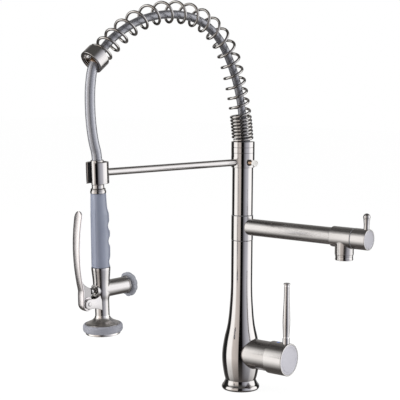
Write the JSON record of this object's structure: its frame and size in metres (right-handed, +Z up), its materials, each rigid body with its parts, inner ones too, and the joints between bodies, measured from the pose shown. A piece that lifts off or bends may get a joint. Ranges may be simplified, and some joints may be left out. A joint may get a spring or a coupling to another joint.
{
  "type": "pull-out kitchen faucet",
  "caption": "Commercial-style kitchen faucet: bottle body with lever mixer, swinging spout with its own shut-off, sprung hose arch, docking arm and trigger hand spray.",
  "frame": {"origin": "centre of the base in the deck plane, at the mouth of the shank thread", "axes": "+Z up along the column, +X along the parked spout and the mixer handle, -Y towards the user and the hand spray"},
  "size_m": [0.3092, 0.3468, 0.6063],
  "materials": {
    "brushed_nickel": "brushed nickel, satin along the parts",
    "brass": "turned brass",
    "black_rubber": "soft black rubber",
    "seal_plastic": "blue-grey acetal",
    "cartridge_plastic": "natural acetal",
    "spring_steel": "plain stainless steel",
    "satin_inlay": "satin anodised, faintly lilac",
    "blue_index": "gloss enamel",
    "spring_nickel": "nickel-plated spring wire, satin",
    "dark_hose": "dark smooth hose",
    "braided_hose": "grey braid under a clear cover",
    "grip_rubber": "soft-touch blue-grey rubber",
    "pale_plastic": "pale moulded plastic",
    "grey_plastic": "moulded grey plastic",
    "bumper_rubber": "grey rubber",
    "face_plastic": "moulded dark grey plastic"
  },
  "bodies": {
    "base": {"deck_gasket": "black_rubber", "base_flange": "brushed_nickel", "shank_insert": "brass", "faucet_body": "brushed_nickel", "valve_cartridge": "cartridge_plastic", "cartridge_nut": "brass", "column_core": "brass", "lower_seal": "black_rubber", "upper_seal": "black_rubber", "lower_washer": "seal_plastic", "upper_washer": "seal_plastic", "upper_column": "brushed_nickel", "spigot_clip": "spring_steel"},
    "valve_carrier": {"valve_rotor": "cartridge_plastic", "tilt_pin": "spring_steel"},
    "handle": {"cartridge_stem": "brass", "handle_cap": "brushed_nickel", "handle_disc": "satin_inlay", "handle_index": "blue_index", "handle_screw": "spring_steel", "handle_lever": "brushed_nickel"},
    "spout": {"spout_ring": "brushed_nickel", "spout_tube": "brushed_nickel", "spout_head": "brushed_nickel", "aerator_housing": "brushed_nickel", "aerator_insert": "seal_plastic", "tap_seal": "seal_plastic"},
    "spout_tap": {"tap_spindle": "brass", "tap_cap": "brushed_nickel", "tap_disc": "satin_inlay", "tap_pin": "brushed_nickel"},
    "arm": {"arm_ring": "brushed_nickel", "lock_ring": "brushed_nickel", "spring_collar": "brushed_nickel", "hose_guide": "seal_plastic", "arch_spring": "spring_nickel", "spring_end_ring": "brushed_nickel", "arch_hose": "dark_hose", "hose_gland": "brass", "hose_coupling": "brass", "spray_hose": "braided_hose", "arm_rod": "brushed_nickel", "spray_holder": "brushed_nickel", "holder_liner": "black_rubber"},
    "arm_knob": {"clamp_screw": "brass", "clamp_knob": "pale_plastic"},
    "hand_spray": {"spray_ferrule": "brushed_nickel", "core_tube": "brass", "spray_collar": "brushed_nickel", "spray_grip": "grip_rubber", "spray_body": "brushed_nickel", "packing_nut": "brass", "pivot_pin": "spring_steel", "spray_bell": "brushed_nickel", "bumper_ring": "bumper_rubber", "spray_face": "face_plastic"},
    "trigger": {"trigger_lever": "brushed_nickel"},
    "plunger": {"valve_plunger": "spring_steel"},
    "flow_control": {"flow_knob": "grey_plastic", "knob_spindle": "brass"}
  },
  "joints": [
    {"name": "valve_turn", "type": "hinge", "parent": "base", "child": "valve_carrier", "pos_m": [0.05, 0, 0.0595], "axis": [1, 0, 0], "range_deg": [-45, 45]},
    {"name": "handle_tilt", "type": "hinge", "parent": "valve_carrier", "child": "handle", "pos_m": [0.059, 0, 0.0595], "axis": [0, 1, 0], "range_deg": [0, 14]},
    {"name": "spout_swivel", "type": "hinge", "parent": "base", "child": "spout", "pos_m": [0, 0, 0.2603], "axis": [0, 0, 1], "continuous": true},
    {"name": "tap_turn", "type": "hinge", "parent": "spout", "child": "spout_tap", "pos_m": [0.21, 0, 0.2603], "axis": [1, 0, 0], "range_deg": [0, 90]},
    {"name": "arm_swivel", "type": "hinge", "parent": "base", "child": "arm", "pos_m": [0, 0, 0.3615], "axis": [0, 0, 1], "range_deg": [-180, 180]},
    {"name": "knob_turn", "type": "hinge", "parent": "arm", "child": "arm_knob", "pos_m": [0.01891, -0.00651, 0.3615], "axis": [0.9455, -0.3256, 0], "range_deg": [0, 360]},
    {"name": "spray_pull", "type": "slide", "parent": "arm", "child": "hand_spray", "axis": [0.0073, 0.0377, -0.9993], "range_m": [0, 0.09], "stiffness_N_per_m": 60, "springref_m": -0.25, "deforming": ["spray_hose"]},
    {"name": "trigger_squeeze", "type": "hinge", "parent": "hand_spray", "child": "trigger", "pos_m": [-0.0578, -0.29734, 0.17638], "axis": [-0.9816, 0.1908, 0], "range_deg": [0, 8], "stiffness_Nm_per_rad": 4, "springref_deg": -4.58},
    {"name": "plunger_press", "type": "slide", "parent": "hand_spray", "child": "plunger", "axis": [0.1907, 0.9809, 0.0384], "range_m": [0, 0.0023]},
    {"name": "flow_turn", "type": "hinge", "parent": "hand_spray", "child": "flow_control", "pos_m": [-0.04505, -0.23174, 0.19516], "axis": [-0.1907, -0.9809, -0.0384], "range_deg": [0, 270]}
  ],
  "couplings": [
    {"joint": "plunger_press", "follows": "trigger_squeeze", "m_per_rad": 0.0162}
  ]
}
